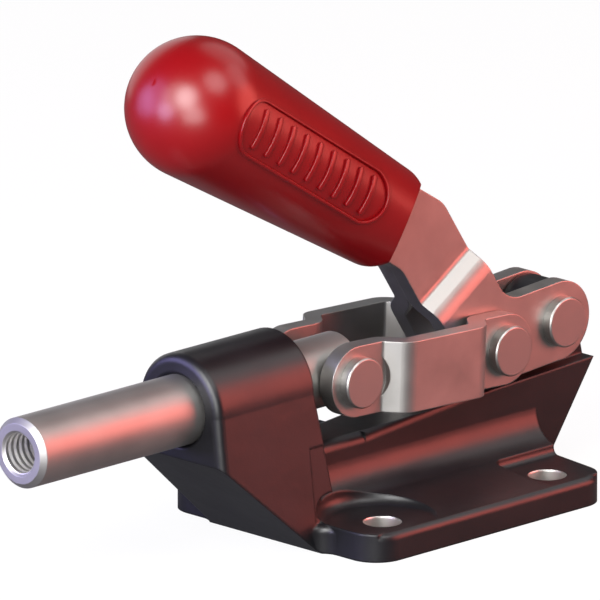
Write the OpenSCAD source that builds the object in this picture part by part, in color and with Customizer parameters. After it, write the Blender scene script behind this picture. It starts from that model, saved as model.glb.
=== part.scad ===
// Push-pull toggle clamp with a forged flanged base, a straight rod and a red grip.
// The origin is the centre of the four bolt holes, on the mounting face.
// +Z is up, the nose of the rod points along -X and the near side is -Y.
// The clamp is drawn locked: rod pushed out, pins just past their dead centre.

/* [Rod] */
// Diameter of the sliding rod
rod_d = 19.05; // [16:0.05:21]
// Length of the rod from its nose to its rear end
rod_length = 118.4; // [105:0.1:125]
// Distance of the cross pin from the rear end of the rod
rod_pin_back = 7.1; // [6.5:0.1:9]
// Bevel round the nose
nose_bevel = 1.4; // [0.5:0.1:2.5]
// Bevel round the rear end
tail_bevel = 1; // [0.3:0.1:2]
// Wall diameter of the tapped hole in the nose
nose_bore_d = 10.8; // [6:0.1:13]
// Depth of the full-width tapped hole
nose_bore_depth = 38; // [20:1:60]
// Diameter of the bevel at the mouth of the tapped hole
nose_mouth_d = 12.4; // [11:0.1:14]

/* [Linkage] */
// Height of the rod's centre line above the mounting face
axis_height = 41.9; // [40:0.1:46]
// How far behind the bolt pattern's centre the rear pin stands
pivot_x = 56.45; // [54:0.05:60]
// How far the rear pin lies below the rod's centre line
pivot_drop = 0.7; // [0:0.1:1.5]
// Distance from the rear pin to the middle pin
crank_radius = 25.76; // [24.5:0.05:27]
// Distance from the middle pin to the front pin
link_length = 56; // [54:0.1:60]
// Angle of the handle past the dead centre when locked
lock_angle = 4; // [2:0.1:5]

/* [Pins] */
// Diameter of the pin shanks
pin_d = 9.5; // [8:0.1:10]
// Diameter of the riveted heads
head_d = 13.7; // [12.5:0.1:14.5]
// Height of the riveted heads
head_height = 2.9; // [1.5:0.1:3.1]
// Bevel round each head
head_bevel = 0.4; // [0.1:0.1:0.8]

/* [Links] */
// Thickness of the link plates
link_thick = 4.8; // [4:0.1:5.5]
// Width of the link plates, which is also their eye diameter
link_width = 19.3; // [17:0.1:20]
// How far the middle of a link stands out from its ends
link_offset = 5.8; // [4.5:0.1:6.5]
// Distance from a pin to the start of the bend
link_flat = 8.1; // [7.6:0.1:9]
// Inside radius of the bends
link_bend_r = 1.5; // [0.8:0.1:2]
// Angle of the bends
link_bend_angle = 50; // [42:1:60]
// Radius of the spot face round the pin heads
link_spot_r = 10.3; // [9.7:0.1:11]

/* [Handle plates] */
// Thickness of each handle plate
plate_thick = 4.8; // [4:0.1:5.2]
// Width of the plates' arms
arm_width = 21.4; // [19:0.1:22]
// Width of the foot that joins the two pins
foot_width = 21.6; // [20:0.1:22.4]
// Lean of the lower arm, forward from upright
arm_lean = 33; // [28:0.5:38]
// Length of the lower arm from the middle pin to the elbow
arm_length = 40; // [38:0.5:46]
// Radius of the corner between arm and foot
foot_corner_r = 9; // [4:0.5:12]
// Radius of the corner under the elbow
elbow_corner_r = 10; // [4:0.5:14]
// Distance from the middle pin to the start of the plates' bend
plate_flat = 17.7; // [14:0.1:18]
// Inside radius of the plates' bend
plate_bend_r = 2; // [1:0.1:2.5]
// Angle of the plates' bend
plate_bend_angle = 45; // [40:1:55]
// Length of the flat tang inside the grip
tang_length = 72; // [50:1:76]

/* [Grip] */
// Slope of the grip above the horizontal
grip_slope = 32.1; // [25:0.1:38]
// Distance along the grip's axis from the elbow to its open end
grip_gap = 9.1; // [7:0.1:14]
// Length of the grip from its open end to the centre of the ball end
grip_to_ball = 84.8; // [76:0.1:90]
// Radius of the ball end
ball_r = 19.1; // [16.5:0.1:20]
// Radius of the grip at its open end
grip_end_r = 14.4; // [13.4:0.1:15.5]
// Rounding of the open end's rim
grip_rim_r = 5; // [2:0.1:6]
// Angle between the grip's axis and the two slanted faces of its open end
mouth_slant = 46; // [36:1:60]
// Width of the blunt edge that these faces leave beside the plates
mouth_edge = 0.4; // [0.2:0.1:1]

/* [Handle rivets] */
// Diameter of the rivets that join the two plates
rivet_d = 6; // [4:0.5:8]
// Diameter of their flush countersunk heads
rivet_head_d = 10; // [8.5:0.5:12]
// Depth of the countersinks
rivet_sink = 1.8; // [1:0.1:2]
// Distance of the first rivet from the grip's open end
rivet_first = 18; // [14:1:24]
// Distance between the two rivets
rivet_pitch = 34; // [20:1:40]

/* [Flange] */
// Spacing of the bolt holes along the rod
bolt_spacing_x = 62.1; // [60:0.1:66]
// Spacing of the bolt holes across the rod
bolt_spacing_y = 59; // [56:0.1:64]
// Diameter of the bolt holes
bolt_hole_d = 10.3; // [8.5:0.1:12]
// Flange ahead of the front holes
front_margin = 12.5; // [11.5:0.1:15]
// Flange behind the rear holes, at the corners
rear_margin = 13.6; // [12:0.1:16]
// Flange outside the holes
side_margin = 10.2; // [9:0.1:13]
// Thickness of the flange at its rim
flange_thick = 7.7; // [6:0.1:9]
// Corner radius of the flange
flange_corner_r = 8.5; // [6:0.1:10]
// Rounding of the flange's upper edge
flange_edge_r = 2; // [1:0.1:3]
// Angle by which the rear edge falls back towards the corners
rear_sweep = 8; // [4:0.5:12]
// Draft of the forged faces
draft = 7; // [5:0.5:8]
// Radius of the hollow between flange and rib
flare_r = 9; // [6:0.5:11]
// Radius of the hollow corner between the flange's front and the guide block
front_corner_r = 5.7; // [3:0.1:8]
// Radius of the spot face round the front holes
spot_r = 17.5; // [16.5:0.1:18.5]
// Rounding at the foot of the spot faces
spot_foot_r = 3; // [1:0.1:3.4]
// Height of the spot faces' wall, up to where it rounds into the guide block
spot_wall = 3.8; // [3.5:0.1:5]
// Rounding of that wall into the guide block
spot_top_r = 3.5; // [2:0.1:4]
// Distance of the rear pocket's front wall ahead of the rear holes
pocket_reach = 8; // [7:0.1:10]
// Distance of the rear pocket's inner wall from the rear holes
pocket_in = 13; // [11:0.1:14]
// Corner radius of the rear pocket
pocket_corner_r = 3.5; // [2.6:0.1:5]
// Rounding at the foot of the rear pocket
pocket_foot_r = 1.8; // [0.5:0.1:2.4]

/* [Guide block] */
// Outer radius of the block round the rod
guide_r = 15.1; // [13.5:0.1:16.5]
// Position of the block's front face ahead of the bolt pattern's centre
guide_front = 77.95; // [74:0.05:84]
// Length of the block along the rod
guide_length = 35.7; // [32:0.1:37]
// Distance from the rod's centre line down to the bottom of the front face
chin_drop = 13.2; // [12:0.1:15]
// How far ahead of the flange the sloping face meets the mounting face
chin_foot = 1.6; // [0.5:0.1:4]
// Rounding of the block's front edge
guide_edge_r = 2.4; // [1:0.1:3]
// Bevel at the front mouth of the guide bore
guide_mouth = 0.8; // [0.3:0.1:1.2]
// Lean of the block's rear face
guide_rear_lean = 8.5; // [5:0.5:10]
// Depth of the shallow step on the block's sides
guide_step = 0.3; // [0.1:0.05:0.5]
// How far ahead of the flange's front edge that step starts
guide_step_lead = 1.9; // [0.5:0.1:4]
// Height of that step's upper end above the mounting face
guide_step_top = 28; // [24:0.5:32]

/* [Rib and lug] */
// Half the width of the rib
rib_half = 8.7; // [8:0.1:9]
// Height of the rib's top behind the guide block
rib_front_top = 24.9; // [24:0.1:26.4]
// Height of the rib's top at its rear end
rib_rear_top = 28.5; // [28:0.1:29.3]
// How far behind the rear pin the rib's top ends
rib_overhang = 13.4; // [11:0.1:16]
// How far behind the bolt pattern's centre the rib meets the mounting face
rib_foot_x = 50.1; // [49:0.1:52]
// How far behind the bolt pattern's centre the rib's top starts to climb
rib_climb_x = -16.45; // [-25:0.05:10]
// Rounding of the rib's upper edges beside the guide block
rib_edge_r = 3; // [1:0.1:3.5]
// Angle at which that rounding fades out towards the rear
rib_edge_fade = 3; // [2:0.5:6]
// Thickness of the lug that carries the rear pin
lug_thick = 8.8; // [8:0.1:9.4]
// Radius of the lug round the rear pin
lug_r = 10.2; // [9:0.1:11]
// Radius of the corner between lug and rib
lug_corner_r = 6; // [2:0.5:8]
// Outer diameter of the bush in the lug
bush_d = 12.7; // [11.5:0.1:14]

/* [Clearances] */
// Radial clearance of the rod in its guide
rod_fit = 0.08; // [0.03:0.01:0.1]
// Radial clearance of a pin that turns in its hole
pin_fit = 0.05; // [0.02:0.01:0.1]
// Gap between flat faces that slide past each other
side_gap = 0.3; // [0.2:0.05:0.4]
// Clearance round the tang inside the grip
tang_fit = 0.05; // [0.02:0.01:0.1]

/* [Hidden] */
$fn = 96;
eps = 0.01;
web_lap = 0.2;
edge_lap = 0.05;
seam = 0.01;
span = 400;

steel = "#b9b8b4";
pin_steel = "#c6c5c1";
black_oxide = "#1d1d20";
grip_red = "#a3101c";
bronze = "#8a6a3c";

function dir(a) = [cos(a), sin(a)];
function left_of(p, a, d) = p + d * dir(a + 90);
function cross2(a, b) = a[0] * b[1] - a[1] * b[0];
function meet(p, a, q, b) = p + dir(a) * cross2(q - p, dir(b)) / cross2(dir(a), dir(b));
function bend_run(rise, mid_r, a) =
    2 * mid_r * sin(a) + (rise - 2 * mid_r * (1 - cos(a))) / tan(a);

rod_r = rod_d / 2;
pin_r = pin_d / 2;
axis_z = axis_height;

// Pin centres in the XZ plane
rear_pin_at = [pivot_x, axis_z - pivot_drop];
middle_pin_at = rear_pin_at - crank_radius * dir(lock_angle);
link_drop = axis_z - middle_pin_at[1];
link_angle = -asin(link_drop / link_length);
front_pin_at = middle_pin_at - link_length * dir(link_angle);

rod_tail_x = front_pin_at[0] + rod_pin_back;
rod_nose_x = rod_tail_x - rod_length;

// Stack of plates, from the middle plane outwards
plate_in = lug_thick / 2 + side_gap;
plate_out = plate_in + plate_thick;
link_in = max(plate_out, rod_r) + side_gap;
link_out = link_in + link_thick;

// Handle: arm angle, elbow and the grip's axis in the XZ plane
arm_angle = 90 + arm_lean;
grip_angle = 180 - grip_slope;
elbow_at = middle_pin_at + arm_length * dir(arm_angle);
plate_bend_run = bend_run(plate_in, plate_bend_r + plate_thick / 2, plate_bend_angle);
link_bend_run = bend_run(link_offset, link_bend_r + link_thick / 2, link_bend_angle);

// Flange outline
flange_half = bolt_spacing_y / 2 + side_margin;
flange_front_x = -bolt_spacing_x / 2 - front_margin;
flange_rear_x = bolt_spacing_x / 2 + rear_margin;

guide_front_x = -guide_front;
guide_rear_x = guide_front_x + guide_length;
rib_rear_x = pivot_x + rib_overhang;
rib_climb = atan2(rib_rear_top - rib_front_top, rib_rear_x - rib_climb_x);
chin_z = axis_z - chin_drop;
chin_foot_x = flange_front_x - chin_foot;

// Extrudes a profile drawn in the XZ plane, centred on the middle plane
module across(w) {
    rotate([90, 0, 0])
        linear_extrude(w, center = true)
            children();
}

// Extrudes a profile drawn in the YZ plane from x0 to x1
module along_x(x0, x1) {
    translate([x0, 0, 0])
        rotate([90, 0, 90])
            linear_extrude(x1 - x0)
                children();
}

// A cylinder along Y, between two distances from the middle plane
module peg(at, r, y0, y1) {
    translate([at[0], y1, at[1]])
        rotate([90, 0, 0])
            cylinder(r = r, h = y1 - y0);
}

// The same piece on the other side of the middle plane
module near_side() {
    mirror([0, 1, 0])
        children();
}

module both_sides() {
    children();
    near_side()
        children();
}

// A straight bar in a profile, from p to q
module bar(p, q, w) {
    d = q - p;
    translate(p)
        rotate(atan2(d[1], d[0]))
            translate([0, -w / 2])
                square([norm(d), w]);
}

// Round faces stand a seam proud of the flat ones they run into, so that the two cross
module round_bar(p, q, w) {
    bar(p, q, w);
    translate(p)
        circle(r = w / 2 + seam);
    translate(q)
        circle(r = w / 2 + seam);
}

// The web between a corner at c and a circle that touches both of its edges, which
// leave c at angles a1 and a2. Added it fills an inner corner, cut it rounds an outer one.
module corner_web(c, a1, a2, r, h) {
    half = (a2 - a1) / 2;
    middle = a1 + half;
    centre = c + r / sin(half) * dir(middle);
    reach = r + web_lap;
    linear_extrude(h, center = true)
        difference() {
            polygon([centre, centre + reach * dir(a1 - 90), c - web_lap * dir(middle),
                centre + reach * dir(a2 + 90)]);
            translate(centre)
                circle(r + seam);
        }
}

// Stands what is drawn in the XY plane up in the XZ plane
module upright() {
    rotate([90, 0, 0])
        children();
}

// Lower edge of a plate seen on edge, as it rises by an offset through two bends
function step_low(x, rise, thick, r_in, a) =
    let(run = bend_run(rise, r_in + thick / 2, a), t = tan(a / 2))
    [[x + (r_in + thick) * t, 0], [x + run - r_in * t, rise]];

// Upper edge of the same plate
function step_high(x, rise, thick, r_in, a) =
    let(run = bend_run(rise, r_in + thick / 2, a), t = tan(a / 2))
    [[x + r_in * t, thick], [x + run - (r_in + thick) * t, rise + thick]];

// Webs that fill the insides of the two bends
module bend_fills(x, rise, thick, r_in, a) {
    corner_web(step_high(x, rise, thick, r_in, a)[0], a, 180, r_in, span);
    corner_web(step_low(x, rise, thick, r_in, a)[1], 180 + a, 360, r_in, span);
}

// Webs that round the outsides of the two bends
module bend_rounds(x, rise, thick, r_in, a) {
    r_out = r_in + thick;
    corner_web(step_low(x, rise, thick, r_in, a)[0], a, 180, r_out, span);
    corner_web(step_high(x, rise, thick, r_in, a)[1], 180 + a, 360, r_out, span);
}

// Rod

module rod_blank() {
    rotate([0, 90, 0])
        rotate_extrude()
            polygon([[0, 0], [rod_r - nose_bevel, 0], [rod_r, nose_bevel],
                [rod_r, rod_length - tail_bevel], [rod_r - tail_bevel, rod_length], [0, rod_length]]);
}

module nose_hole() {
    bore_r = nose_bore_d / 2;
    rotate([0, 90, 0]) {
        translate([0, 0, -eps])
            cylinder(r = bore_r, h = nose_bore_depth + eps);
        translate([0, 0, nose_bore_depth])
            cylinder(r1 = bore_r, r2 = 0, h = bore_r / tan(59));
        translate([0, 0, -eps])
            cylinder(r1 = nose_mouth_d / 2 + eps, r2 = 0, h = nose_mouth_d / 2 + eps);
    }
}

module rod() {
    color(steel)
        difference() {
            translate([rod_nose_x, 0, axis_z])
                difference() {
                    rod_blank();
                    nose_hole();
                }
            peg(front_pin_at, pin_r, -rod_d, rod_d);
        }
}

// Pins

// One riveted head, from its seat at distance y outwards
module rivet_head(at, y) {
    head_r = head_d / 2;
    translate([at[0], y, at[1]])
        rotate([-90, 0, 0])
            rotate_extrude()
                polygon([[0, 0], [head_r, 0], [head_r, head_height - head_bevel],
                    [head_r - head_bevel, head_height], [0, head_height]]);
}

module through_pin(at, seat) {
    peg(at, pin_r, -seat - eps, seat + eps);
    both_sides()
        rivet_head(at, seat);
}

module front_pin() {
    color(pin_steel)
        intersection() {
            peg(front_pin_at, pin_r, -rod_d, rod_d);
            translate([0, 0, axis_z])
                rotate([0, 90, 0])
                    cylinder(r = rod_r, h = span, center = true);
        }
}

module front_pin_heads() {
    stub_in = rod_r + side_gap;
    color(pin_steel)
        both_sides() {
            peg(front_pin_at, pin_r, stub_in, link_out + eps);
            rivet_head(front_pin_at, link_out);
        }
}

module middle_pin() {
    color(pin_steel)
        through_pin(middle_pin_at, link_out);
}

module rear_pin() {
    color(pin_steel)
        through_pin(rear_pin_at, plate_out);
}

module pivot_bush() {
    color(bronze)
        difference() {
            peg(rear_pin_at, bush_d / 2, -lug_thick / 2, lug_thick / 2);
            peg(rear_pin_at, pin_r + pin_fit, -lug_thick, lug_thick);
        }
}

// Links

// The bent strip that a link is cut from, with the front pin at 0
module link_edge() {
    low = step_low(link_flat, link_offset, link_thick, link_bend_r, link_bend_angle);
    high = step_high(link_flat, link_offset, link_thick, link_bend_r, link_bend_angle);
    start = -link_width;
    half = link_length / 2;
    translate([0, link_in])
        difference() {
            union() {
                linear_extrude(span, center = true)
                    polygon([[start, 0], low[0], low[1],
                        mirrored(low[1], half), mirrored(low[0], half),
                        mirrored([start, 0], half), mirrored([start, link_thick], half),
                        mirrored(high[0], half), mirrored(high[1], half),
                        high[1], high[0], [start, link_thick]]);
                link_ends()
                    bend_fills(link_flat, link_offset, link_thick, link_bend_r, link_bend_angle);
            }
            link_ends()
                bend_rounds(link_flat, link_offset, link_thick, link_bend_r, link_bend_angle);
        }
}

function mirrored(p, middle) = [2 * middle - p[0], p[1]];

// The same bend at both ends of a link
module link_ends() {
    children();
    translate([link_length, 0])
        mirror([1, 0])
            children();
}

module link() {
    translate([front_pin_at[0], 0, front_pin_at[1]])
        rotate([0, -link_angle, 0])
            difference() {
                intersection() {
                    across(span)
                        round_bar([0, 0], [link_length, 0], link_width);
                    link_edge();
                }
                for (x = [0, link_length]) {
                    peg([x, 0], pin_r, 0, span);
                    peg([x, 0], link_spot_r, link_out, span);
                }
            }
}

module far_link() {
    color(steel)
        link();
}

module near_link() {
    color(steel)
        near_side()
            link();
}

// Handle

// Side view of a handle plate
module plate_outline() {
    tang_at = elbow_at + (grip_gap + tang_length - arm_width / 2) * dir(grip_angle);
    foot_angle = lock_angle;
    half = arm_width / 2;
    back_corner = meet(left_of(middle_pin_at, foot_angle, foot_width / 2), foot_angle,
        left_of(middle_pin_at, arm_angle, -half), arm_angle);
    under_elbow = meet(left_of(middle_pin_at, arm_angle, half), arm_angle,
        left_of(elbow_at, grip_angle, half), grip_angle);
    upright() {
        linear_extrude(span, center = true) {
            round_bar(middle_pin_at, rear_pin_at, foot_width);
            round_bar(middle_pin_at, elbow_at, arm_width);
            round_bar(elbow_at, tang_at, arm_width);
        }
        corner_web(back_corner, foot_angle, arm_angle, foot_corner_r, span);
        corner_web(under_elbow, grip_angle, arm_angle + 180, elbow_corner_r, span);
    }
}

// Edge view of a handle plate along the lower arm, from the middle pin at 0. The plate
// is drawn as it falls to the middle plane, so its low side is the outer one.
module plate_edge() {
    far = plate_flat + plate_bend_run;
    low = step_low(-far, plate_in, plate_thick, plate_bend_r, plate_bend_angle);
    high = step_high(-far, plate_in, plate_thick, plate_bend_r, plate_bend_angle);
    mirror([1, 0])
        difference() {
            union() {
                linear_extrude(span, center = true)
                    polygon([[-span / 2, 0], low[0], low[1], [span / 2, plate_in],
                        [span / 2, plate_out], high[1], high[0], [-span / 2, plate_thick]]);
                bend_fills(-far, plate_in, plate_thick, plate_bend_r, plate_bend_angle);
            }
            bend_rounds(-far, plate_in, plate_thick, plate_bend_r, plate_bend_angle);
        }
}

// A countersink in the far plate, run on past its outer face by a distance
module countersink(at, over) {
    spread = (rivet_head_d - rivet_d) / 2 / rivet_sink;
    height = rivet_sink + over;
    translate([at[0], plate_thick - rivet_sink, at[1]])
        rotate([-90, 0, 0])
            cylinder(r1 = rivet_d / 2, r2 = rivet_d / 2 + spread * height, h = height);
}

// One flush rivet through both plates
module flush_rivet(at) {
    peg(at, rivet_d / 2, -plate_thick, plate_thick);
    both_sides()
        countersink(at, 0);
}

function rivet_at(i) = elbow_at + (grip_gap + rivet_first + i * rivet_pitch) * dir(grip_angle);

module handle_rivets() {
    color(pin_steel)
        for (i = [0, 1])
            flush_rivet(rivet_at(i));
}

module handle_plate() {
    difference() {
        intersection() {
            plate_outline();
            translate([middle_pin_at[0], 0, middle_pin_at[1]])
                rotate([0, -arm_angle, 0])
                    plate_edge();
        }
        peg(middle_pin_at, pin_r + pin_fit, 0, span);
        peg(rear_pin_at, pin_r, 0, span);
        for (i = [0, 1]) {
            peg(rivet_at(i), rivet_d / 2, -1, plate_thick);
            countersink(rivet_at(i), 1);
        }
    }
}

module far_handle_plate() {
    color(steel)
        handle_plate();
}

module near_handle_plate() {
    color(steel)
        near_side()
            handle_plate();
}

// Grip, drawn standing on its open end, with its axis along Z

module grip_profile() {
    taper = asin((ball_r - grip_end_r) / grip_to_ball);
    ball = [0, grip_to_ball];
    touch = ball + ball_r * [cos(taper), -sin(taper)];
    rim = [grip_end_r - grip_rim_r, grip_rim_r];
    rim_touch = rim + grip_rim_r * [cos(taper), -sin(taper)];
    intersection() {
        union() {
            translate(ball)
                circle(ball_r);
            translate(rim)
                circle(grip_rim_r);
            polygon([[0, 0], [rim[0], 0], rim, rim_touch, touch, ball]);
        }
        square([2 * ball_r, span]);
    }
}

module tang_space() {
    across(2 * (plate_thick + tang_fit))
        round_bar([0, -arm_width], [0, tang_length - arm_width / 2], arm_width + 2 * tang_fit);
}

// What the slanted faces leave of the open end
module mouth_wedge() {
    spread = tan(mouth_slant);
    half = plate_thick + tang_fit + mouth_edge;
    along_x(-ball_r - 1, ball_r + 1)
        polygon([[-half + spread, -1], [half - spread, -1],
            [half + span * spread, span], [-half - span * spread, span]]);
}

module grip() {
    color(grip_red)
        translate([elbow_at[0], 0, elbow_at[1]])
            rotate([0, 90 - grip_angle, 0])
                translate([0, 0, grip_gap])
                    difference() {
                        intersection() {
                            rotate_extrude()
                                grip_profile();
                            mouth_wedge();
                        }
                        tang_space();
                    }
}

// Base

// Flange outline, drawn in by a distance all round
module flange_outline(inset) {
    r = flange_corner_r - inset;
    front = flange_front_x + flange_corner_r;
    rear = flange_rear_x - flange_corner_r;
    y = flange_half - flange_corner_r;
    rear_touch = [rear, y] + r * dir(rear_sweep);
    middle_x = rear_touch[0] + rear_touch[1] * tan(rear_sweep);
    for (s = [-1, 1]) {
        translate([front, s * y])
            circle(r);
        translate([rear, s * y])
            circle(r);
    }
    polygon([[front - r, -y], [front, -y - r], [rear, -y - r], [rear_touch[0], -rear_touch[1]],
        [middle_x, 0], rear_touch, [rear, y + r], [front, y + r], [front - r, y]]);
}

// The rounded upper edge: bars and rings of the edge radius
module flange_rim() {
    r = flange_corner_r - flange_edge_r;
    front = flange_front_x + flange_corner_r;
    rear = flange_rear_x - flange_corner_r;
    y = flange_half - flange_corner_r;
    rear_touch = [rear, y] + r * dir(rear_sweep);
    translate([0, 0, flange_thick - flange_edge_r]) {
        for (s = [-1, 1], x = [front, rear])
            translate([x, s * y, 0])
                rotate_extrude()
                    translate([r, 0])
                        circle(flange_edge_r);
        for (s = [-1, 1])
            translate([front, s * (y + r), 0])
                rotate([0, 90, 0])
                    cylinder(r = flange_edge_r + seam, h = rear - front);
        translate([front - r, y, 0])
            rotate([90, 0, 0])
                cylinder(r = flange_edge_r, h = 2 * y);
        both_sides()
            translate([rear_touch[0], rear_touch[1], 0])
                rotate([90, 0, rear_sweep])
                    cylinder(r = flange_edge_r, h = rear_touch[1] / cos(rear_sweep));
    }
}

module flange() {
    linear_extrude(flange_thick - flange_edge_r)
        flange_outline(0);
    linear_extrude(flange_thick)
        flange_outline(flange_edge_r);
    flange_rim();
}

// Hollow corner between the flange's front and the side of the guide block, with the
// flange's upper edge carried round it
module front_corner() {
    r = front_corner_r;
    edge = flange_edge_r;
    side = guide_half(flange_thick);
    intersection() {
        difference() {
            translate([flange_front_x - r, side - edge, 0])
                cube([r + edge, r + edge, flange_thick]);
            translate([flange_front_x - r, side + r, flange_thick - edge])
                rotate_extrude() {
                    translate([0, -span])
                        square([r + seam, 2 * span]);
                    difference() {
                        square([r + seam + edge, span]);
                        translate([r + seam + edge, 0])
                            circle(edge);
                    }
                }
        }
        across(span)
            polygon([[guide_front_x, chin_z], [chin_foot_x, 0], [0, 0], [0, chin_z]]);
    }
}

// The raised middle: drafted top faces that sweep up into the rib
module flare() {
    start = flange_half - flange_edge_r - web_lap;
    foot_z = flange_thick + (start - rib_half) * tan(draft);
    intersection() {
        rotate([90, 0, 90]) {
            linear_extrude(span, center = true)
                polygon([[-start, 1], [-start, flange_thick], [-rib_half, foot_z],
                    [rib_half, foot_z], [start, flange_thick], [start, 1]]);
            for (s = [0, 1])
                mirror([s, 0, 0])
                    corner_web([rib_half, foot_z], -draft, 90, flare_r, span);
        }
        linear_extrude(span)
            flange_outline(0);
    }
}

// What rounds one upper edge of the rib, drawn along X from 0
module rib_edge_cut(length) {
    rotate([90, 0, 90])
        linear_extrude(length)
            difference() {
                translate([-rib_edge_r, -rib_edge_r])
                    square(2 * rib_edge_r);
                translate([-rib_edge_r, -rib_edge_r])
                    circle(rib_edge_r + seam);
            }
}

module rib() {
    difference() {
        across(2 * rib_half)
            polygon([[guide_rear_x - 1, 0], [rib_foot_x, 0], [rib_rear_x, rib_rear_top],
                [rib_climb_x, rib_front_top], [guide_rear_x - 1, rib_front_top]]);
        both_sides() {
            translate([guide_rear_x - 2, rib_half, rib_front_top])
                rib_edge_cut(rib_climb_x - guide_rear_x + 2);
            translate([rib_climb_x, rib_half, rib_front_top])
                rotate([0, -rib_climb - rib_edge_fade, 0])
                    rib_edge_cut(rib_edge_r / tan(rib_edge_fade));
        }
    }
}

module lug() {
    front_x = rear_pin_at[0] - lug_r;
    front_z = rib_rear_top - (rib_rear_x - front_x) * tan(rib_climb);
    across(lug_thick) {
        translate(rear_pin_at)
            circle(lug_r);
        polygon([[front_x, front_z - 2], [rib_rear_x, rib_rear_top - eps],
            rear_pin_at + lug_r * dir(13), [front_x, rear_pin_at[1]]]);
    }
    upright()
        corner_web([front_x, front_z], 90, 180 + rib_climb, lug_corner_r, lug_thick);
}

// Half the width of the guide block at a height below the rod
function guide_half(z) = guide_r + (axis_z - z) * tan(draft);

// Outline of the guide block seen from the nose
module guide_section() {
    foot = guide_half(0);
    translate([0, axis_z])
        circle(guide_r);
    polygon([[-foot, 0], [foot, 0], [guide_r, axis_z], [-guide_r, axis_z]]);
}

// Outline of the guide block seen from the side
module guide_side() {
    top = axis_z + 2 * guide_r;
    polygon([[guide_front_x, chin_z], [chin_foot_x, 0],
        [guide_rear_x + axis_z * tan(guide_rear_lean), 0],
        [guide_rear_x, axis_z], [guide_rear_x, top], [guide_front_x, top]]);
}

// What rounds the block's front edge round its arch
module arch_edge_cut() {
    r = guide_edge_r;
    intersection() {
        translate([guide_front_x, 0, axis_z])
            rotate([0, 90, 0])
                rotate_extrude()
                    difference() {
                        translate([guide_r - r, -1])
                            square([r + 1, r + 1]);
                        translate([guide_r - r, r])
                            circle(r);
                    }
        translate([-span / 2, -span / 2, axis_z])
            cube(span);
    }
}

// What rounds the same edge down one side, a little deeper so that the two cuts cross
module side_edge_cut() {
    r = guide_edge_r;
    translate([guide_front_x, guide_r, axis_z])
        rotate([180 + draft, 0, 0])
            translate([edge_lap, edge_lap, -r / 6])
                linear_extrude(chin_drop * 2)
                    difference() {
                        translate([-1, -1])
                            square(r + 1);
                        translate([r, r])
                            circle(r);
                    }
}

module guide_block() {
    difference() {
        intersection() {
            along_x(guide_front_x, 0)
                guide_section();
            across(span)
                guide_side();
        }
        arch_edge_cut();
        both_sides() {
            side_edge_cut();
            guide_side_step();
        }
    }
}

// Takes a shallow step off the rear of the block's side
module guide_side_step() {
    inner = guide_step / cos(draft);
    out = guide_half(0) + 1;
    along_x(flange_front_x - guide_step_lead, 0)
        polygon([[guide_half(guide_step_top) - inner, guide_step_top],
            [guide_half(flange_thick) - inner, flange_thick],
            [out, flange_thick], [out, guide_step_top]]);
}

module guide_bore() {
    bore_r = rod_r + rod_fit;
    length = guide_length + rod_d * tan(guide_rear_lean);
    translate([guide_front_x, 0, axis_z])
        rotate([0, 90, 0]) {
            translate([0, 0, -1])
                cylinder(r = bore_r, h = length + 2);
            translate([0, 0, -eps])
                cylinder(r1 = bore_r + guide_mouth, r2 = bore_r, h = guide_mouth);
        }
}

// A round cutter that stands on z = 0, with its wall's foot and top rounded inwards
module round_cutter(r, foot, wall, top) {
    rotate_extrude() {
        square([r - foot, foot + 1]);
        translate([0, foot])
            square([r, wall - foot]);
        square([r - top, wall + top]);
        intersection() {
            translate([r - foot, foot])
                circle(foot);
            square(r);
        }
        intersection() {
            translate([r - top, wall])
                circle(top);
            square(r);
        }
    }
}

module spot_faces() {
    for (s = [-1, 1])
        translate([-bolt_spacing_x / 2, s * bolt_spacing_y / 2, flange_thick])
            round_cutter(spot_r, spot_foot_r, spot_wall, spot_top_r);
}

// Pocket round one rear hole, open to the rear and to the side
module pocket() {
    x0 = bolt_spacing_x / 2 - pocket_reach;
    y0 = bolt_spacing_y / 2 - pocket_in;
    r = pocket_corner_r;
    foot = pocket_foot_r;
    translate([x0 + r, y0 + r, flange_thick]) {
        rotate_extrude() {
            square([r - foot, span]);
            translate([0, foot])
                square([r, span]);
            intersection() {
                translate([r - foot, foot])
                    circle(foot);
                square(r);
            }
        }
        translate([0, 0, foot])
            cube(span);
        translate([0, -r, foot])
            cube(span);
        translate([-r, 0, foot])
            cube(span);
        translate([0, foot - r, 0])
            cube(span);
        translate([foot - r, 0, 0])
            cube(span);
        translate([0, foot - r, foot])
            rotate([0, 90, 0])
                cylinder(r = foot, h = span);
        translate([foot - r, 0, foot])
            rotate([-90, 0, 0])
                cylinder(r = foot, h = span);
    }
}

module bolt_holes() {
    for (sx = [-1, 1], sy = [-1, 1])
        translate([sx * bolt_spacing_x / 2, sy * bolt_spacing_y / 2, -1])
            cylinder(d = bolt_hole_d, h = flange_thick + 20);
}

module base() {
    color(black_oxide)
        difference() {
            union() {
                difference() {
                    union() {
                        flange();
                        flare();
                        both_sides()
                            front_corner();
                        guide_block();
                    }
                    spot_faces();
                    both_sides()
                        pocket();
                }
                rib();
                lug();
            }
            guide_bore();
            bolt_holes();
            peg(rear_pin_at, bush_d / 2, -span, span);
        }
}

base();
pivot_bush();
rod();
front_pin();
front_pin_heads();
near_link();
far_link();
middle_pin();
near_handle_plate();
far_handle_plate();
rear_pin();
handle_rivets();
grip();
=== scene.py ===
# %% [markdown]
# # A push-pull toggle clamp
#
# The clamp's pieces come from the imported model, in metres, with the mounting face at z = 0, the
# rod's nose towards -X and the near side at -Y. This script gives them the finishes of the real
# clamp, adds the small forms that belong to the surface alone, and lights and frames the whole.

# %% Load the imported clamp
import math

import bmesh
import bpy
from mathutils import Matrix, Vector


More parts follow.
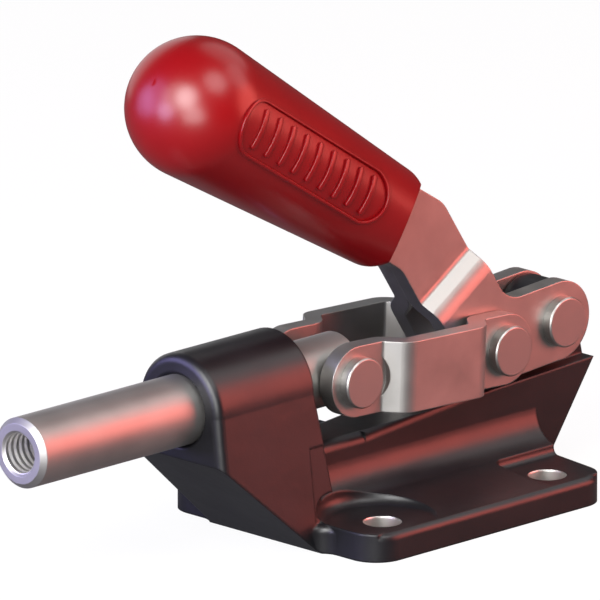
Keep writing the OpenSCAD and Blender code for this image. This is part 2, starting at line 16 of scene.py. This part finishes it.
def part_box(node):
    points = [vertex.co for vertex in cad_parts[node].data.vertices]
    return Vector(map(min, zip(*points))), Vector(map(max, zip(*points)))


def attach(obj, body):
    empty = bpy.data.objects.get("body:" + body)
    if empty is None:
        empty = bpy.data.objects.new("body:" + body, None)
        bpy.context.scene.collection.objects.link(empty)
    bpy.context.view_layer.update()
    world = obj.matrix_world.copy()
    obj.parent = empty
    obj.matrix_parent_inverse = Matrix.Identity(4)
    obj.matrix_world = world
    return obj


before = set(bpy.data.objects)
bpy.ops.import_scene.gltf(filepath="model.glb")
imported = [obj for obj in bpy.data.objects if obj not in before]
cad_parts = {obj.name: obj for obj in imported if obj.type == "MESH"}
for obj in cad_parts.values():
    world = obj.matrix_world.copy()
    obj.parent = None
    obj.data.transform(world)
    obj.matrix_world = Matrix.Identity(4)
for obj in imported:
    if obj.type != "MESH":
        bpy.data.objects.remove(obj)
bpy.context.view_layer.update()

MM = 0.001

# %% [markdown]
# ## Camera
#
# The photograph keeps equal lengths equal at both ends of the clamp, as an orthographic view or a
# very long lens does. A long lens far away is used here, because every other view can share it.
# It looks from 45 degrees to the left of the near side and 16 degrees above the floor.

# %% Camera
VIEW_AZIMUTH = math.radians(225.0)
VIEW_ELEVATION = math.radians(15.87)
VIEW_WIDTH = 158.4 * MM
VIEW_MIDDLE = Vector((-32.3, 0.0, 62.8)) * MM
SENSOR = 36.0
LENS = 1500.0

towards_camera = Vector((
    math.cos(VIEW_ELEVATION) * math.cos(VIEW_AZIMUTH),
    math.cos(VIEW_ELEVATION) * math.sin(VIEW_AZIMUTH),
    math.sin(VIEW_ELEVATION),
))

camera_data = bpy.data.cameras.new("camera")
camera_data.sensor_width = SENSOR
camera_data.lens = LENS
camera = bpy.data.objects.new("camera", camera_data)
camera.location = VIEW_MIDDLE + towards_camera * VIEW_WIDTH * LENS / SENSOR
camera.rotation_euler = towards_camera.to_track_quat("Z", "Y").to_euler()
bpy.context.scene.collection.objects.link(camera)
bpy.context.scene.camera = camera
print("camera stands", round(camera.location.length, 2), "m away")

# %% [markdown]
# ## Nodes and colours
#
# Each finish is a small tree of shader nodes. One function adds a node with its settings and
# links, and one turns an sRGB hex colour to the linear values that the shaders work in.

# %% Helpers for the finishes
WHITE = (1.0, 1.0, 1.0, 1.0)

# A mix node holds sockets for several types; these are the ones for colours
MIX_FACTOR, MIX_A, MIX_B, MIX_RESULT = 0, 6, 7, 2


def linear(hex_colour):
    """The linear RGBA of an sRGB colour such as "a0b0c0"."""
    channels = [int(hex_colour[i:i + 2], 16) / 255 for i in (0, 2, 4)]
    return tuple(c / 12.92 if c <= 0.04045 else ((c + 0.055) / 1.055) ** 2.4
                 for c in channels) + (1.0,)


def add_node(tree, kind, inputs=None, **settings):
    """Adds a node. Each input is given a value, or the output socket that feeds it."""
    node = tree.nodes.new(kind)
    for name, value in settings.items():
        setattr(node, name, value)
    for name, value in (inputs or {}).items():
        if isinstance(value, bpy.types.NodeSocket):
            tree.links.new(value, node.inputs[name])
        else:
            node.inputs[name].default_value = value
    return node


def new_finish(name):
    """An empty material and its node tree."""
    material = bpy.data.materials.new(name)
    material.use_nodes = True
    material.node_tree.nodes.clear()
    return material, material.node_tree


# The bevel node rounds an edge in the shading alone, and looks this many times to find it
EDGE_LOOKS = 6

# %% [markdown]
# ## Black oxide on a forging
#
# The base is one drop forging, shot blasted and blackened. Blasting leaves a fine grain, drawn
# here at 0.7 mm so that it shows, over slow waves from the die, and the oil in the oxide gives a
# satin gloss. Noise at those two sizes drives the bump, and a third one lets the oil lie
# unevenly. The bolt holes are drilled after blackening, so their walls are bare steel. A mask
# finds them by their distance from the holes' axes, because the base is one mesh with one finish.

# %% Black oxide forging
BLAST_GRAIN = 0.7 * MM
DIE_WAVE = 9.0 * MM
OIL_PATCH = 14.0 * MM
FORGED_EDGE = 0.9 * MM
HOLE_AXIS = (31.05 * MM, 29.5 * MM, 0.0)
HOLE_WALL = 5.17 * MM

black_oxide, tree = new_finish("black_oxide_forging")
place = add_node(tree, "ShaderNodeTexCoord").outputs["Object"]
grain = add_node(tree, "ShaderNodeTexNoise",
                 {"Vector": place, "Scale": 1 / BLAST_GRAIN, "Detail": 3.0})
wave = add_node(tree, "ShaderNodeTexNoise",
                {"Vector": place, "Scale": 1 / DIE_WAVE, "Detail": 2.0})
oil = add_node(tree, "ShaderNodeTexNoise",
               {"Vector": place, "Scale": 1 / OIL_PATCH, "Detail": 5.0})
soft_edge = add_node(tree, "ShaderNodeBevel", {"Radius": FORGED_EDGE}, samples=EDGE_LOOKS)
die_bump = add_node(tree, "ShaderNodeBump",
                    {"Strength": 0.35, "Distance": 0.35 * MM, "Height": wave.outputs["Fac"],
                     "Normal": soft_edge.outputs["Normal"]})
blast_bump = add_node(tree, "ShaderNodeBump",
                      {"Strength": 0.3, "Distance": 0.05 * MM, "Height": grain.outputs["Fac"],
                       "Normal": die_bump.outputs["Normal"]})
gloss = add_node(tree, "ShaderNodeMapRange",
                 {"Value": oil.outputs["Fac"], "To Min": 0.32, "To Max": 0.46})
oxide = add_node(tree, "ShaderNodeMix",
                 {MIX_FACTOR: oil.outputs["Fac"], MIX_A: linear("08080a"),
                  MIX_B: linear("100f13")}, data_type="RGBA")

# %% Bare steel in the drilled holes
one_corner = add_node(tree, "ShaderNodeVectorMath", {0: place}, operation="ABSOLUTE")
from_axis = add_node(tree, "ShaderNodeVectorMath",
                     {0: one_corner.outputs["Vector"], 1: HOLE_AXIS}, operation="SUBTRACT")
in_plan = add_node(tree, "ShaderNodeVectorMath",
                   {0: from_axis.outputs["Vector"], 1: (1.0, 1.0, 0.0)}, operation="MULTIPLY")
distance = add_node(tree, "ShaderNodeVectorMath",
                    {0: in_plan.outputs["Vector"]}, operation="LENGTH")
drilled = add_node(tree, "ShaderNodeMath",
                   {0: distance.outputs["Value"], 1: HOLE_WALL}, operation="LESS_THAN")
colour = add_node(tree, "ShaderNodeMix",
                  {MIX_FACTOR: drilled.outputs[0], MIX_A: oxide.outputs[MIX_RESULT],
                   MIX_B: linear("d2d0cc")}, data_type="RGBA")
surface = add_node(tree, "ShaderNodeBsdfPrincipled", {
    "Base Color": colour.outputs[MIX_RESULT],
    "Metallic": drilled.outputs[0],
    "Roughness": gloss.outputs["Result"],
    "Specular IOR Level": 0.48,
    "Normal": blast_bump.outputs["Normal"],
})
add_node(tree, "ShaderNodeOutputMaterial", {"Surface": surface.outputs["BSDF"]})
print(black_oxide.name, len(tree.nodes), "nodes")

# %% [markdown]
# ## Ground rod
#
# The rod is centreless ground stock: fine rings run round it, too fine to see one by one, so the
# pattern is drawn a little coarser. It changes along X only, which makes rings round the axis.
# The hole in the nose has a 1/2 inch thread of 13 turns to the inch. Its wall is paler than the
# rod: partly the cut steel's own tone, and partly painted light that brightens the shade inside
# the bore. A bump draws the thread: a ridge whose height goes up and down once a pitch along X,
# shifted by the turn round the axis. The photograph hardly shows it, so it is kept faint. A mask
# keeps both to what lies close to the rod's axis.

# %% Ground steel rod
GRIND_LINE = 0.35 * MM
ALONG_ROD = (1.0, 0.02, 0.02)
HANDLING_SMUDGE = 11 * MM
GROUND_EDGE = 0.25 * MM
AXIS_HEIGHT = 41.9 * MM
THREAD_PITCH = 25.4 / 13 * MM
THREAD_REACH = 5.6 * MM
THREAD_SHARE = 0.35  # of the ridge's own height

ground_steel, tree = new_finish("ground_steel_rod")
place = add_node(tree, "ShaderNodeTexCoord").outputs["Object"]
rings = add_node(tree, "ShaderNodeMapping", {"Vector": place, "Scale": ALONG_ROD})
lines = add_node(tree, "ShaderNodeTexNoise",
                 {"Vector": rings.outputs["Vector"], "Scale": 1 / GRIND_LINE, "Detail": 2.0})
smudge = add_node(tree, "ShaderNodeTexNoise",
                  {"Vector": place, "Scale": 1 / HANDLING_SMUDGE, "Detail": 4.0})
soft_edge = add_node(tree, "ShaderNodeBevel", {"Radius": GROUND_EDGE}, samples=EDGE_LOOKS)

# %% Thread in the nose
centred = add_node(tree, "ShaderNodeVectorMath",
                   {0: place, 1: (0.0, 0.0, AXIS_HEIGHT)}, operation="SUBTRACT")
part = add_node(tree, "ShaderNodeSeparateXYZ", {0: centred.outputs["Vector"]})
turn = add_node(tree, "ShaderNodeMath",
                {0: part.outputs["Z"], 1: part.outputs["Y"]}, operation="ARCTAN2")
advance = add_node(tree, "ShaderNodeMath",
                   {0: turn.outputs[0], 1: THREAD_PITCH / math.tau, 2: part.outputs["X"]},
                   operation="MULTIPLY_ADD")
ridge = add_node(tree, "ShaderNodeMath",
                 {0: advance.outputs[0], 1: THREAD_PITCH / 2}, operation="PINGPONG")
in_plane = add_node(tree, "ShaderNodeVectorMath",
                    {0: centred.outputs["Vector"], 1: (0.0, 1.0, 1.0)}, operation="MULTIPLY")
radius = add_node(tree, "ShaderNodeVectorMath",
                  {0: in_plane.outputs["Vector"]}, operation="LENGTH")
threaded = add_node(tree, "ShaderNodeMath",
                    {0: radius.outputs["Value"], 1: THREAD_REACH}, operation="LESS_THAN")
thread_bump = add_node(tree, "ShaderNodeBump",
                       {"Strength": threaded.outputs[0], "Distance": THREAD_SHARE,
                        "Height": ridge.outputs[0], "Normal": soft_edge.outputs["Normal"]})

# %% The rod's surface
line_bump = add_node(tree, "ShaderNodeBump",
                     {"Strength": 0.22, "Distance": 0.02 * MM, "Height": lines.outputs["Fac"],
                      "Normal": thread_bump.outputs["Normal"]})
gloss = add_node(tree, "ShaderNodeMapRange",
                 {"Value": smudge.outputs["Fac"], "To Min": 0.46, "To Max": 0.58})
ground = add_node(tree, "ShaderNodeMix",
                  {MIX_FACTOR: smudge.outputs["Fac"], MIX_A: linear("8f8d8a"),
                   MIX_B: linear("a6a4a1")}, data_type="RGBA")
# The bore's pale wall colour is partly painted light, brightening the shade inside the hole
colour = add_node(tree, "ShaderNodeMix",
                  {MIX_FACTOR: threaded.outputs[0], MIX_A: ground.outputs[MIX_RESULT],
                   MIX_B: linear("c6c4c0")}, data_type="RGBA")
surface = add_node(tree, "ShaderNodeBsdfPrincipled", {
    "Base Color": colour.outputs[MIX_RESULT],
    "Metallic": 1.0,
    "Roughness": gloss.outputs["Result"],
    "Normal": line_bump.outputs["Normal"],
})
add_node(tree, "ShaderNodeOutputMaterial", {"Surface": surface.outputs["BSDF"]})
print(ground_steel.name, len(tree.nodes), "nodes")

# %% [markdown]
# ## Stamped plate
#
# Links and handle plates are stamped from strip, tumbled and zinc plated. Tumbling takes the
# mill's lines off and leaves small pits and a silky, even gloss with rounded edges. All four
# plates share one finish, since they go through the same barrel and bath.

# %% Stamped and plated steel
TUMBLE_PIT = 0.5 * MM
PLATING_CLOUD = 8.0 * MM
TUMBLED_EDGE = 0.45 * MM

plated_steel, tree = new_finish("zinc_plated_stamping")
place = add_node(tree, "ShaderNodeTexCoord").outputs["Object"]
pits = add_node(tree, "ShaderNodeTexNoise",
                {"Vector": place, "Scale": 1 / TUMBLE_PIT, "Detail": 3.0})
cloud = add_node(tree, "ShaderNodeTexNoise",
                 {"Vector": place, "Scale": 1 / PLATING_CLOUD, "Detail": 5.0})
soft_edge = add_node(tree, "ShaderNodeBevel", {"Radius": TUMBLED_EDGE}, samples=EDGE_LOOKS)
pit_bump = add_node(tree, "ShaderNodeBump",
                    {"Strength": 0.2, "Distance": 0.03 * MM, "Height": pits.outputs["Fac"],
                     "Normal": soft_edge.outputs["Normal"]})
gloss = add_node(tree, "ShaderNodeMapRange",
                 {"Value": cloud.outputs["Fac"], "To Min": 0.38, "To Max": 0.5})
colour = add_node(tree, "ShaderNodeMix",
                  {MIX_FACTOR: cloud.outputs["Fac"], MIX_A: linear("908e8b"),
                   MIX_B: linear("a8a6a3")}, data_type="RGBA")
surface = add_node(tree, "ShaderNodeBsdfPrincipled", {
    "Base Color": colour.outputs[MIX_RESULT],
    "Metallic": 1.0,
    "Roughness": gloss.outputs["Result"],
    "Normal": pit_bump.outputs["Normal"],
})
add_node(tree, "ShaderNodeOutputMaterial", {"Surface": surface.outputs["BSDF"]})
print(plated_steel.name, len(tree.nodes), "nodes")

# %% [markdown]
# ## Turned pins
#
# The riveted heads are turned, so fine circles run round each pin's own axis, drawn coarser than
# they are so that they show. A wave texture of rings round Y gives them, once a Mapping node has
# brought the pin's centre to the origin. Every pin has another centre, so each gets a material
# of its own from one function.

# %% Turned steel, one finish for each pin
TURNING_FEED = 0.45 * MM
TURNED_EDGE = 0.3 * MM
WAVE_PERIOD = 0.314  # between two rings of the wave texture, at a scale of 1


def middle_of(node):
    """The middle of a solid's box."""
    low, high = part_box(node)
    return tuple((a + b) / 2 for a, b in zip(low, high))


def turned_steel(name, centre):
    """Turned steel with its circles round a line along Y through centre."""
    material, tree = new_finish(name)
    place = add_node(tree, "ShaderNodeTexCoord").outputs["Object"]
    centred = add_node(tree, "ShaderNodeMapping",
                       {"Vector": place, "Location": centre}, vector_type="TEXTURE")
    rings = add_node(tree, "ShaderNodeTexWave",
                     {"Vector": centred.outputs["Vector"], "Scale": WAVE_PERIOD / TURNING_FEED,
                      "Distortion": 0.6, "Detail": 2.0},
                     wave_type="RINGS", rings_direction="Y")
    soft_edge = add_node(tree, "ShaderNodeBevel", {"Radius": TURNED_EDGE}, samples=EDGE_LOOKS)
    ring_bump = add_node(tree, "ShaderNodeBump",
                         {"Strength": 0.25, "Distance": 0.02 * MM,
                          "Height": rings.outputs["Fac"],
                          "Normal": soft_edge.outputs["Normal"]})
    surface = add_node(tree, "ShaderNodeBsdfPrincipled", {
        "Base Color": linear("a3a19e"),
        "Metallic": 1.0,
        "Roughness": 0.38,
        "Normal": ring_bump.outputs["Normal"],
    })
    add_node(tree, "ShaderNodeOutputMaterial", {"Surface": surface.outputs["BSDF"]})
    return material


print("turned circles every", round(TURNING_FEED / MM, 2), "mm")

# %% [markdown]
# ## Sintered bronze
#
# The bush in the lug is pressed bronze powder, full of oil: matt, brown and finely pored. The
# pores are drawn coarser than they are. The lug and the handle plates hide the bush.

# %% Sintered bronze bush
BRONZE_PORE = 0.4 * MM

bronze, tree = new_finish("sintered_bronze")
place = add_node(tree, "ShaderNodeTexCoord").outputs["Object"]
pores = add_node(tree, "ShaderNodeTexNoise",
                 {"Vector": place, "Scale": 1 / BRONZE_PORE, "Detail": 4.0})
pore_bump = add_node(tree, "ShaderNodeBump",
                     {"Strength": 0.4, "Distance": 0.03 * MM, "Height": pores.outputs["Fac"]})
colour = add_node(tree, "ShaderNodeMix",
                  {MIX_FACTOR: pores.outputs["Fac"], MIX_A: linear("7a5c33"),
                   MIX_B: linear("a07c48")}, data_type="RGBA")
surface = add_node(tree, "ShaderNodeBsdfPrincipled", {
    "Base Color": colour.outputs[MIX_RESULT],
    "Metallic": 1.0,
    "Roughness": 0.5,
    "Normal": pore_bump.outputs["Normal"],
})
add_node(tree, "ShaderNodeOutputMaterial", {"Surface": surface.outputs["BSDF"]})
print(bronze.name, len(tree.nodes), "nodes")

# %% [markdown]
# ## Red vinyl grip
#
# The grip is moulded vinyl: deep red, glossy, with the faint waviness of a soft plastic skin. The
# gloss is a clear coat over a body with no reflection of its own, because one soft layer gives
# the single broad highlight of the real grip. A bevel node rounds the grip's open end and the
# trim's edges.

# %% Moulded vinyl
SKIN_WAVE = 3.0 * MM
TONE_PATCH = 20 * MM
MOULDED_EDGE = 0.8 * MM

red_vinyl, tree = new_finish("moulded_red_vinyl")
place = add_node(tree, "ShaderNodeTexCoord").outputs["Object"]
skin = add_node(tree, "ShaderNodeTexNoise",
                {"Vector": place, "Scale": 1 / SKIN_WAVE, "Detail": 2.0})
tone = add_node(tree, "ShaderNodeTexNoise",
                {"Vector": place, "Scale": 1 / TONE_PATCH, "Detail": 3.0})
soft_edge = add_node(tree, "ShaderNodeBevel", {"Radius": MOULDED_EDGE}, samples=EDGE_LOOKS)
skin_bump = add_node(tree, "ShaderNodeBump",
                     {"Strength": 0.15, "Distance": 0.06 * MM, "Height": skin.outputs["Fac"],
                      "Normal": soft_edge.outputs["Normal"]})
gloss = add_node(tree, "ShaderNodeMapRange",
                 {"Value": tone.outputs["Fac"], "To Min": 0.56, "To Max": 0.64})
colour = add_node(tree, "ShaderNodeMix",
                  {MIX_FACTOR: tone.outputs["Fac"], MIX_A: linear("680307"),
                   MIX_B: linear("78050a")}, data_type="RGBA")
surface = add_node(tree, "ShaderNodeBsdfPrincipled", {
    "Base Color": colour.outputs[MIX_RESULT],
    "Roughness": gloss.outputs["Result"],
    "IOR": 1.52,
    "Specular IOR Level": 0.0,
    "Coat Weight": 0.9,
    "Coat Roughness": 0.3,
    "Normal": skin_bump.outputs["Normal"],
})
add_node(tree, "ShaderNodeOutputMaterial", {"Surface": surface.outputs["BSDF"]})
print(red_vinyl.name, len(tree.nodes), "nodes")

# %% [markdown]
# ## Dressing the solids
#
# Each solid keeps its mesh and takes its finish through its material slots, because the solids
# already have the clamp's true shape and size.

# %% Give every solid its finish
FINISH = {
    "base": black_oxide,
    "pivot_bush": bronze,
    "rod": ground_steel,
    "near_link": plated_steel,
    "far_link": plated_steel,
    "near_handle_plate": plated_steel,
    "far_handle_plate": plated_steel,
    "grip": red_vinyl,
}
for pin in ("front_pin", "front_pin_heads", "middle_pin", "rear_pin", "handle_rivets"):
    FINISH[pin] = turned_steel("turned_steel_" + pin, middle_of(pin))

for node, finish in FINISH.items():
    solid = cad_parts[node]
    solid.data.materials.clear()
    solid.data.materials.append(finish)
print("finishes:", {node: finish.name for node, finish in FINISH.items()})

# %% [markdown]
# ## Ribbed panels on the grip
#
# Each side of the grip carries thin moulded trim: a raised border, shaped like a racetrack, round
# a row of cross ribs. Each form starts flat, as a circle whose halves are moved apart, and is
# then laid on the grip's cone: a length along the panel stays a length along the axis, and a
# width becomes an arc round it. Laying it last keeps the flat shapes simple.

# %% Where the grip is
GRIP_SLOPE = math.radians(32.1)
ELBOW = Vector((8.967, 0.0, 72.950)) * MM
GRIP_GAP = 9.1 * MM
BALL_FROM_MOUTH = 84.8 * MM
BALL_RADIUS = 19.1 * MM
MOUTH_RADIUS = 14.42 * MM

grip_axis = Vector((-math.cos(GRIP_SLOPE), 0.0, math.sin(GRIP_SLOPE)))
grip_up = Vector((math.sin(GRIP_SLOPE), 0.0, math.cos(GRIP_SLOPE)))
mouth = ELBOW + GRIP_GAP * grip_axis
taper = (BALL_RADIUS - MOUTH_RADIUS) / BALL_FROM_MOUTH
print("grip's open end at", [round(c / MM, 1) for c in mouth], "mm")


def lay_on_grip(points, side):
    """Moves flat points (along, across, height) onto the grip, side -1 near and +1 far."""
    for vert in points:
        along, across, height = vert.co
        radius = MOUTH_RADIUS + taper * along + height
        turn = across / (radius - height)
        out = Vector((0.0, side, 0.0)) * math.cos(turn) + grip_up * math.sin(turn)
        vert.co = mouth + grip_axis * along + out * radius


# %% Racetrack forms
PANEL_MIDDLE = 53.3 * MM
PANEL_LENGTH = 67.0 * MM
PANEL_HALF = 8.2 * MM
BORDER_WIDTH = 0.9 * MM
RIB_COUNT = 9
RIB_LENGTH = 2 * PANEL_HALF - 5 * MM
RIB_WIDTH = 1.7 * MM
RIB_HEIGHT = 0.65 * MM
SUNK = 0.4 * MM
EDGE_ROUND = 0.16 * MM
EDGE_STEPS = 3
CIRCLE_STEPS = 32


def racetrack(bm, length, half, middle):
    """A closed ring of edges round a straight-sided shape with round ends."""
    ring = bmesh.ops.create_circle(bm, segments=CIRCLE_STEPS, radius=half)["verts"]
    for vert in ring:
        vert.co.x += middle + math.copysign(length / 2 - half, vert.co.x)
    return list({edge for vert in ring for edge in vert.link_edges})


def raise_faces(bm, faces):
    """Sinks flat faces a little, raises them to the trim's height and rounds the upper edges."""
    for vert in {v for face in faces for v in face.verts}:
        vert.co.z = -SUNK
    grown = bmesh.ops.extrude_face_region(bm, geom=faces)["geom"]
    top = [item for item in grown if isinstance(item, bmesh.types.BMVert)]
    bmesh.ops.translate(bm, vec=(0, 0, RIB_HEIGHT + SUNK), verts=top)
    top_set = set(top)
    rim = [edge for edge in bm.edges
           if all(v in top_set for v in edge.verts)
           and any(any(v not in top_set for v in face.verts) for face in edge.link_faces)]
    bmesh.ops.bevel(bm, geom=rim, offset=EDGE_ROUND, offset_type="OFFSET", affect="EDGES",
                    segments=EDGE_STEPS, profile=0.5, material=-1)


def add_rib(bm, at):
    """Makes one cross rib apart, so that its edges stay its own, and joins it to the panel."""
    rib_bm = bmesh.new()
    racetrack(rib_bm, RIB_LENGTH, RIB_WIDTH / 2, 0.0)
    bmesh.ops.rotate(rib_bm, matrix=Matrix.Rotation(math.pi / 2, 3, "Z"),
                     cent=(0, 0, 0), verts=rib_bm.verts)
    bmesh.ops.translate(rib_bm, vec=(at, 0, 0), verts=rib_bm.verts)
    flat = bmesh.ops.contextual_create(rib_bm, geom=rib_bm.edges[:])["faces"]
    raise_faces(rib_bm, flat)
    rib = bpy.data.meshes.new("rib")
    rib_bm.to_mesh(rib)
    rib_bm.free()
    bm.from_mesh(rib)
    bpy.data.meshes.remove(rib)


print("panel", round(PANEL_LENGTH / MM, 1), "mm long,", RIB_COUNT, "ribs")

# %% Panels, one on each side
ACROSS_LEAST = 2 * MM
ACROSS_CUTS = 5


def make_panel(name, side):
    """A border and its ribs, laid on one side of the grip."""
    bm = bmesh.new()
    outer = racetrack(bm, PANEL_LENGTH, PANEL_HALF, PANEL_MIDDLE)
    inner = racetrack(bm, PANEL_LENGTH - 2 * BORDER_WIDTH, PANEL_HALF - BORDER_WIDTH,
                      PANEL_MIDDLE)
    raise_faces(bm, bmesh.ops.bridge_loops(bm, edges=outer + inner)["faces"])
    span = PANEL_LENGTH - 2 * PANEL_HALF
    for i in range(RIB_COUNT):
        add_rib(bm, PANEL_MIDDLE + (i / (RIB_COUNT - 1) - 0.5) * span)

    # A long edge across the panel is cut, so that it can follow the grip's roundness
    across = [edge for edge in bm.edges
              if abs(edge.verts[0].co.y - edge.verts[1].co.y) > ACROSS_LEAST]
    bmesh.ops.subdivide_edges(bm, edges=across, cuts=ACROSS_CUTS, use_grid_fill=True)
    bmesh.ops.recalc_face_normals(bm, faces=bm.faces[:])
    lay_on_grip(bm.verts, side)
    bmesh.ops.recalc_face_normals(bm, faces=bm.faces[:])

    mesh = bpy.data.meshes.new(name)
    bm.to_mesh(mesh)
    bm.free()
    mesh.shade_smooth()
    panel = bpy.data.objects.new(name, mesh)
    bpy.context.scene.collection.objects.link(panel)
    panel.data.materials.append(red_vinyl)
    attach(panel, "handle")
    print(name, len(mesh.polygons), "faces")


make_panel("near_grip_panel", -1)
make_panel("far_grip_panel", 1)

# %% [markdown]
# ## Floor
#
# A pale floor, as for a catalogue picture. To the camera it is white paper that keeps a faint
# shadow. To light that bounces it is a grey card, because white paper would fill the undersides
# that the photograph leaves dark, and reflections see only a tenth of its white for the same
# reason. Light Path tells the rays apart.

# %% Floor
FLOOR_HALF = 2.5  # metres
PAPER_GLOW = 0.92  # the rest is lit by the lamps, and so keeps the shadow
MIRRORED_PAPER = 0.1  # what reflections see of the glow

white_paper, tree = new_finish("white_paper_sweep")
path = add_node(tree, "ShaderNodeLightPath")
tint = add_node(tree, "ShaderNodeMix",
                {MIX_FACTOR: path.outputs["Is Camera Ray"], MIX_A: linear("505050"),
                 MIX_B: linear("f0f0f0")}, data_type="RGBA")
diffuse = add_node(tree, "ShaderNodeBsdfDiffuse", {"Color": tint.outputs[MIX_RESULT]})
glow = add_node(tree, "ShaderNodeEmission", {"Color": WHITE, "Strength": 1.0})
seen = add_node(tree, "ShaderNodeMath",
                {0: path.outputs["Is Glossy Ray"], 1: MIRRORED_PAPER,
                 2: path.outputs["Is Camera Ray"]}, operation="MULTIPLY_ADD")
lift = add_node(tree, "ShaderNodeMath", {0: seen.outputs[0], 1: PAPER_GLOW},
                operation="MULTIPLY")
paper = add_node(tree, "ShaderNodeMixShader",
                 {0: lift.outputs[0], 1: diffuse.outputs[0], 2: glow.outputs[0]})
add_node(tree, "ShaderNodeOutputMaterial", {"Surface": paper.outputs[0]})

bm = bmesh.new()
bmesh.ops.create_grid(bm, x_segments=1, y_segments=1, size=FLOOR_HALF)
floor_mesh = bpy.data.meshes.new("floor")
bm.to_mesh(floor_mesh)
bm.free()
floor = bpy.data.objects.new("floor", floor_mesh)
floor.data.materials.append(white_paper)
bpy.context.scene.collection.objects.link(floor)
print("floor", 2 * FLOOR_HALF, "m square")

# %% [markdown]
# ## Room
#
# Beyond the floor the camera sees plain white. The room's own light is weak, so that the lamps
# shape the clamp, and reflections see hardly more of it.

# %% World
ROOM_LEVEL = 0.06
MIRRORED_ROOM = 0.01  # what reflections see on top

world = bpy.data.worlds.new("studio")
world.use_nodes = True
bpy.context.scene.world = world
tree = world.node_tree
tree.nodes.clear()
path = add_node(tree, "ShaderNodeLightPath")
reflected = add_node(tree, "ShaderNodeMath",
                     {0: path.outputs["Is Glossy Ray"], 1: MIRRORED_ROOM, 2: ROOM_LEVEL},
                     operation="MULTIPLY_ADD")
level = add_node(tree, "ShaderNodeMath",
                 {0: path.outputs["Is Camera Ray"], 1: reflected.outputs[0]},
                 operation="MAXIMUM")
background = add_node(tree, "ShaderNodeBackground",
                      {"Color": WHITE, "Strength": level.outputs[0]})
add_node(tree, "ShaderNodeOutputWorld", {"Surface": background.outputs[0]})
print("room light", ROOM_LEVEL)

# %% [markdown]
# ## Lamps
#
# Round soft boxes look at the clamp. Two near the camera's left make the broad highlight on the
# ball. A reddish one low on the right and bluish ones on the left give the steel its two tints,
# and the rest are weak and keep the top and the far side from going black. The tints are in the
# lamps and not in the steel, so that the steel stays neutral under other light.

# %% Lamps
BLUISH = "b8b0ff"

# Name: direction, distance and size in metres, power in watts, colour
LAMPS = {
    "key_heart": ((-0.75, -0.36, 0.55), 0.9, 0.5, 8.5, "ffffff"),
    "key_rim": ((-0.86, -0.13, 0.49), 0.9, 0.7, 5.0, "ffffff"),
    "low_in_front": ((-0.75, -0.6, 0.1), 0.9, 0.5, 5.5, "ffffff"),
    "low_at_nose": ((-1.0, 0.1, 0.14), 0.9, 0.35, 4.0, "d4ceff"),
    "top_from_near_side": ((-0.02, -0.6, 0.8), 0.9, 0.5, 3.4, "ffffff"),
    "high_right": ((0.6, -0.45, 0.65), 0.9, 0.5, 1.2, "ffffff"),
    "top_from_behind": ((0.68, 0.12, 0.72), 1.0, 0.8, 1.6, "ffffff"),
    "fill_from_right": ((0.7, -0.7, 0.18), 0.8, 0.6, 7.2, "ff7a70"),
    "far_left_high": ((-0.8, 0.46, 0.36), 0.9, 0.7, 4.5, BLUISH),
    "far_left_low": ((-0.7, 0.7, 0.16), 0.8, 0.5, 2.5, BLUISH),
    "far_side": ((0.3, 0.95, 0.2), 1.0, 0.9, 2.0, "ffffff"),
}

for name, (direction, distance, size, power, hex_colour) in LAMPS.items():
    lamp = bpy.data.lights.new(name, "AREA")
    lamp.shape = "DISK"
    lamp.size = size
    lamp.energy = power
    lamp.color = linear(hex_colour)[:3]
    softbox = bpy.data.objects.new(name, lamp)
    towards = Vector(direction).normalized()
    softbox.location = VIEW_MIDDLE + towards * distance
    softbox.rotation_euler = towards.to_track_quat("Z", "Y").to_euler()
    bpy.context.scene.collection.objects.link(softbox)
print(len(LAMPS), "lamps")

# %% [markdown]
# ## View settings
#
# The Standard view shows a colour as it is written.

# %% View settings
scene = bpy.context.scene
scene.view_settings.view_transform = "Standard"
